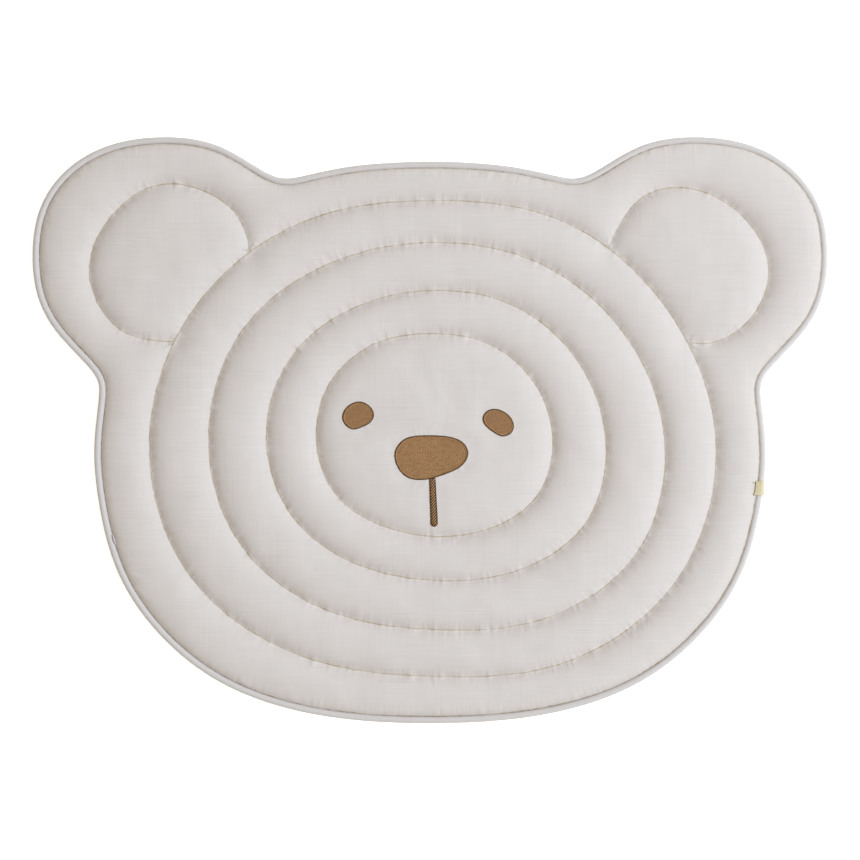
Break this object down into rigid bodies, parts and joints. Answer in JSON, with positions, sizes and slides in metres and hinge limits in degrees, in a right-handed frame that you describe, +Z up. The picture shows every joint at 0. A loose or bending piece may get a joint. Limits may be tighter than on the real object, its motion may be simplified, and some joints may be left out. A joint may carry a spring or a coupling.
{
  "type": "quilted bear-shaped floor mat",
  "caption": "Quilted padded floor mat shaped like a bear's head, with oval channels, corded piping, embroidered eyes, nose and mouth, and a small folded side tape.",
  "frame": {"origin": "on the floor, under the middle of the mat's outline", "axes": "+Z up from the floor, +Y to the crown of the head, +X to the right as the face is seen from above"},
  "size_m": [1.1, 0.8115, 0.0215],
  "materials": {
    "linen": "matt warm off-white slub linen and cotton weave",
    "piping_sateen": "smooth pale sateen bias cut, a soft sheen",
    "brown_thread": "brown rayon embroidery thread, fill stitch with a satin-stitch border",
    "straw_tape": "pale straw-yellow woven tape, blank"
  },
  "bodies": {
    "root": {"pad": "linen", "piping": "piping_sateen", "eye_left": "brown_thread", "eye_right": "brown_thread", "nose": "brown_thread", "mouth": "brown_thread", "side_tape": "straw_tape"}
  },
  "joints": []
}
